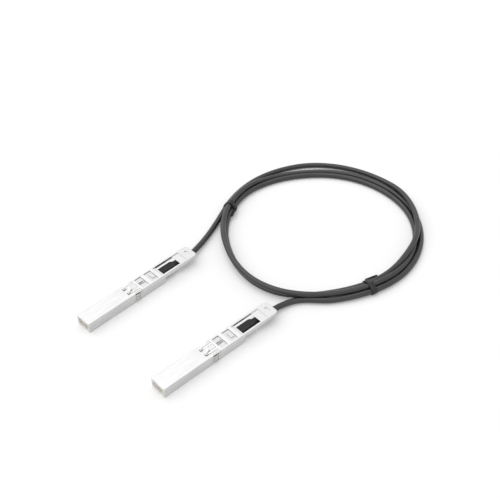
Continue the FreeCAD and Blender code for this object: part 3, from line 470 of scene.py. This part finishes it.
def plated_screw(side):
    """Zinc plating over a turned head: rings round each screw's own axis."""
    paint = Paint("plated_screw_" + side, metallic=1.0)
    here = paint.place(MODULES[side])
    across = paint.part(here, "X")
    off = abs(paint.part(here, "Y") - SCREWS_MIDDLE) - SCREWS_HALF_APART
    radius = paint.maths("SQRT", across * across + off * off)
    rings = paint.maths("FRACT", radius / SCREW_RING)
    grain = paint.noise(here, scale=3.0)
    paint.set(base_color=paint.blend(grain, grey(0.66, 0.01), grey(0.8, 0.01)),
              roughness=paint.spread(rings, 0.0, 1.0, 0.26, 0.36))
    paint.bump(rings, depth=0.006)
    return paint.material


def moulded_rubber(side):
    """The boot: matt black elastomer, finely sparked by its mould."""
    paint = Paint("moulded_rubber_" + side, ior=1.5, specular_ior_level=0.3)
    here = paint.place(MODULES[side])
    spark = paint.noise(here, scale=4.5, detail=3.0)
    bloom = paint.noise(here, scale=0.35)
    paint.set(base_color=paint.blend(paint.spread(bloom, 0.35, 0.7), grey(0.010), grey(0.018)),
              roughness=paint.vary(spark, 0.48, 0.62))
    paint.bump(spark, depth=0.02)
    return paint.material


def cable_jacket():
    """Extruded black jacket: slightly uneven, with a soft sheen and handling marks."""
    paint = Paint("cable_jacket", ior=1.5, specular_ior_level=0.65)
    here = paint.place()
    skin = paint.noise(here, scale=1.6, detail=3.0)
    rub = paint.noise(here, scale=0.08, detail=3.0)
    paint.set(base_color=paint.blend(paint.spread(rub, 0.35, 0.7), grey(0.014), grey(0.026)),
              roughness=paint.vary(skin * 0.5 + rub * 0.5, 0.3, 0.42))
    paint.bump(skin, depth=0.02)
    return paint.material


def tie_plastic():
    """The ties' black plastic ribbon, with a light grain."""
    paint = Paint("tie_plastic", ior=1.48)
    grain = paint.noise(paint.place(), scale=2.2, detail=3.0)
    paint.set(base_color=paint.blend(grain, grey(0.006), grey(0.012)),
              roughness=paint.vary(grain, 0.42, 0.55))
    paint.bump(grain, depth=0.04)
    return paint.material


FINISHES = {
    "base_shell": cast_nickel, "cover_shell": cast_nickel, "release_frame": rolled_steel,
    "return_spring": drawn_wire, "contact_collar": spring_strip, "paddle_card": card_mask,
    "card_contacts": gold_plate, "memory_chip": chip_case, "wire_anchor": melt_resin,
    "transmit_pair": wrapped_foil, "receive_pair": wrapped_foil,
    "crimp_ferrule": crimped_brass, "cable_boot": moulded_rubber,
    "front_screw": plated_screw, "rear_screw": plated_screw}


def give(piece, material):
    piece.data.materials.clear()
    piece.data.materials.append(material)


jacket = cable_jacket()
tie_finish = tie_plastic()
give(cable, jacket)
materials = {}
for side in MODULES:
    materials[side] = {finish: finish(side) for finish in dict.fromkeys(FINISHES.values())}
    for part, finish in FINISHES.items():
        give(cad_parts[part + "_" + side], materials[side][finish])
    give(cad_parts["cable_stub_" + side], jacket)
    give(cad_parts["cable_lead_" + side], jacket)
    give(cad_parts["coil_tie_" + side], tie_finish)
give(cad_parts["cable_coil"], jacket)


# ---------------------------------------------------------------- twist ties

STRANDS = 3
FULL_TURN = 360
TIE_WIDTH = 4.5
TIE_WALL = 0.55
TIE_CORE = 0.22
TIE_SLACK = 0.05
TIE_RIBBON = ((-0.5, 0), (-0.18, 0), (0, TIE_CORE), (0.18, 0), (0.5, 0))
TIE_SIDES = 64
TAIL_OFFSET = Vector((0.1, 0.4, 1.2))
TAIL_SIZE = (1.05, 0.65)
TAIL_LENGTH = 10.5
TAIL_SWING, TAIL_RISE = -0.3, -0.2
TAIL_SIDES = 12
TAIL_STEPS = 40
TAIL_TURNS = 3.5


def strands_at(wound):
    """Radius and height of each pass of the cable that a tie holds."""
    return [lie_at(wound + FULL_TURN * k) for k in range(STRANDS)]


def bundle_outline(wound, clearance):
    """Points round the cable's strands where a tie holds them, in the tie's own frame."""
    strands = [Vector((radius, 0, height)) for radius, height in strands_at(wound)]
    points = []
    for k in range(TIE_SIDES):
        angle = 2 * math.pi * k / TIE_SIDES
        way = Vector((math.cos(angle), 0, math.sin(angle)))
        furthest = max(strands, key=way.dot)
        points.append(furthest + way * (CABLE / MM / 2 + clearance))
    return points


def add_loop(shape, points, along):
    corners = [shape.verts.new(point + Vector((0, along, 0))) for point in points]
    return [shape.edges.new((a, b)) for a, b in zip(corners, corners[1:] + corners[:1])]


def add_tail(shape, wound):
    """The two ends, twisted together and laid along the coil's inner side."""
    radius, height = min(strands_at(wound))
    spot = Vector((radius - CABLE / MM / 2 - TIE_WALL, 0, height)) + TAIL_OFFSET
    ring = bmesh.ops.create_circle(shape, cap_ends=True, radius=1.0,
                                   segments=TAIL_SIDES)["verts"]
    faces = {face for vert in ring for face in vert.link_faces}
    to_start = Matrix.Translation(spot) @ Matrix.Rotation(math.radians(-90), 4, "X")
    flat = Matrix.Diagonal((*TAIL_SIZE, 1, 1))
    bmesh.ops.transform(shape, verts=ring, matrix=to_start @ flat)
    step = Vector((TAIL_SWING, TAIL_LENGTH, TAIL_RISE)) / TAIL_STEPS
    twist = Matrix.Rotation(2 * math.pi * TAIL_TURNS / TAIL_STEPS, 3, "Y")
    for _ in range(TAIL_STEPS):
        grown = bmesh.ops.extrude_face_region(shape, geom=list(faces))["geom"]
        ring = [item for item in grown if isinstance(item, bmesh.types.BMVert)]
        bmesh.ops.delete(shape, geom=[f for f in faces if f.is_valid], context="FACES_ONLY")
        faces = {item for item in grown if isinstance(item, bmesh.types.BMFace)}
        spot = spot + step
        bmesh.ops.translate(shape, verts=ring, vec=step)
        bmesh.ops.rotate(shape, verts=ring, cent=spot, matrix=twist)


def make_tie(side):
    """A flat plastic ribbon with a wire core, folded round the coil and twisted shut."""
    angle = TIE_ANGLES[side]
    wound = TIE_ANGLES["a"] - angle
    shape = bmesh.new()
    loops = []
    for along, lift in TIE_RIBBON:
        outline = bundle_outline(wound, TIE_SLACK + TIE_WALL + lift)
        loops.append(add_loop(shape, outline, along * TIE_WIDTH))
    for near_loop, far_loop in zip(loops, loops[1:]):
        bmesh.ops.bridge_loops(shape, edges=near_loop + far_loop)
    bmesh.ops.recalc_face_normals(shape, faces=shape.faces)
    bmesh.ops.solidify(shape, geom=list(shape.faces), thickness=TIE_WALL)
    add_tail(shape, wound)
    bmesh.ops.recalc_face_normals(shape, faces=shape.faces)
    for face in shape.faces:
        face.smooth = True
    place = Matrix.Translation(COIL_MIDDLE) @ Matrix.Rotation(math.radians(angle), 4, "Z")
    shape.transform(place @ Matrix.Scale(MM, 4))
    tie = add_mesh("twist_tie_" + side, shape)
    give(tie, tie_finish)
    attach(tie, "cable")
    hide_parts("coil_tie_" + side)
    return tie


ties = [make_tie(side) for side in MODULES]


# ---------------------------------------------------------------- return springs

SPRING_RADIUS, SPRING_WIRE = 0.8, 0.3
SPRING_START, SPRING_LENGTH, SPRING_TURNS = 51.2, 5.2, 6
SPRING_AXIS_HEIGHT = 7.3
STEPS_PER_TURN = 24
WIRE_SIDES = 10


def make_spring(side):
    """The wire coil that the release frame presses together when it's pulled."""
    shape = bmesh.new()
    wire_end = Matrix.Translation((SPRING_RADIUS, SPRING_START, SPRING_AXIS_HEIGHT))
    bmesh.ops.create_circle(shape, radius=SPRING_WIRE / 2, segments=WIRE_SIDES, matrix=wire_end)
    steps = SPRING_TURNS * STEPS_PER_TURN
    bmesh.ops.spin(shape, geom=shape.verts[:] + shape.edges[:], cent=(0, 0, SPRING_AXIS_HEIGHT),
                   axis=(0, 1, 0), dvec=(0, SPRING_LENGTH / steps, 0),
                   angle=2 * math.pi * SPRING_TURNS, steps=steps)
    bmesh.ops.holes_fill(shape, edges=[edge for edge in shape.edges if edge.is_boundary])
    bmesh.ops.recalc_face_normals(shape, faces=shape.faces)
    for face in shape.faces:
        face.smooth = len(face.verts) == 4
    settle(shape, side)
    spring = add_mesh("compression_spring_" + side, shape)
    give(spring, materials[side][drawn_wire])
    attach(spring, "cable")
    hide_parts("return_spring_" + side)
    "release_slide_" + side
    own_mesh(spring)


# ---------------------------------------------------------------- tab plates

TAB_PLATE_SIZE = (12.0, 13.3, 0.35)
TAB_PLATE_MIDDLE = (0, 94.75, 7.8)
TAB_PLATE_CORNER = 0.6
CORNER_STEPS = 4


def make_tab_plate(side):
    """The plate under the release tab: it backs the tab's hole and closes the end of the
    boot window."""
    shape = bmesh.new()
    bmesh.ops.create_cube(shape, size=1.0, matrix=Matrix.Translation(TAB_PLATE_MIDDLE)
                          @ Matrix.Diagonal((*TAB_PLATE_SIZE, 1.0)))
    upright = [edge for edge in shape.edges
               if abs(edge.verts[0].co.z - edge.verts[1].co.z) > TAB_PLATE_SIZE[2] / 2]
    bmesh.ops.bevel(shape, geom=upright, offset=TAB_PLATE_CORNER, segments=CORNER_STEPS,
                    profile=0.5, affect="EDGES", material=-1)
    settle(shape, side)
    plate = add_mesh("tab_plate_" + side, shape)
    give(plate, materials[side][rolled_steel])
    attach(plate, "release_" + side)


for side in MODULES:
    make_spring(side)
for side in MODULES:
    make_tab_plate(side)


# ---------------------------------------------------------------- stage and light

FLOOR_SIZE = 4.0
FLOOR_DROP = 0.05 * MM
FLOOR_WHITE = 0.9
FLOOR_ROUGHNESS = 0.9
FLOOR_GLOW = 0.165
SKY_LEVEL = 0.6
SUN_WAY = Vector((-0.4, -0.2, 0.95))
SUN_WIDTH = math.radians(80.0)
SUN_LEVEL = 1.25


def make_floor():
    """A matt white floor that keeps the shadows and looks as white as the room."""
    shape = bmesh.new()
    middle = Matrix.Translation((VIEW_TARGET.x, VIEW_TARGET.y, -FLOOR_DROP))
    bmesh.ops.create_grid(shape, x_segments=1, y_segments=1, size=FLOOR_SIZE / 2, matrix=middle)
    floor = add_mesh("floor", shape)
    paint = Paint("studio_floor", roughness=FLOOR_ROUGHNESS, base_color=grey(FLOOR_WHITE),
                  specular_ior_level=0.0, emission_strength=FLOOR_GLOW)
    paint.set(emission_color=paint.blend(paint.seen(), grey(0.0), grey(1.0)))
    give(floor, paint.material)


def make_world():
    """A pale room that lights the pieces softly and looks plain white."""
    sky = Sky("studio")
    sky.set(color=grey(1.0), strength=sky.spread(sky.seen(), 0.0, 1.0, SKY_LEVEL, 1.0))
    scene.world = sky.world


def make_sun():
    """One broad soft light, nearly overhead."""
    sun = bpy.data.lights.new("soft_sun", "SUN")
    sun.energy = SUN_LEVEL
    sun.angle = SUN_WIDTH
    holder = add_object("soft_sun", sun)
    holder.location = VIEW_TARGET + SUN_WAY
    aim(holder, SUN_WAY)


make_floor()
make_world()
make_sun()

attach(cable, "cable")
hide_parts("cable_lead_a", "cable_lead_b", "cable_coil")

scene.view_settings.view_transform = "Standard"
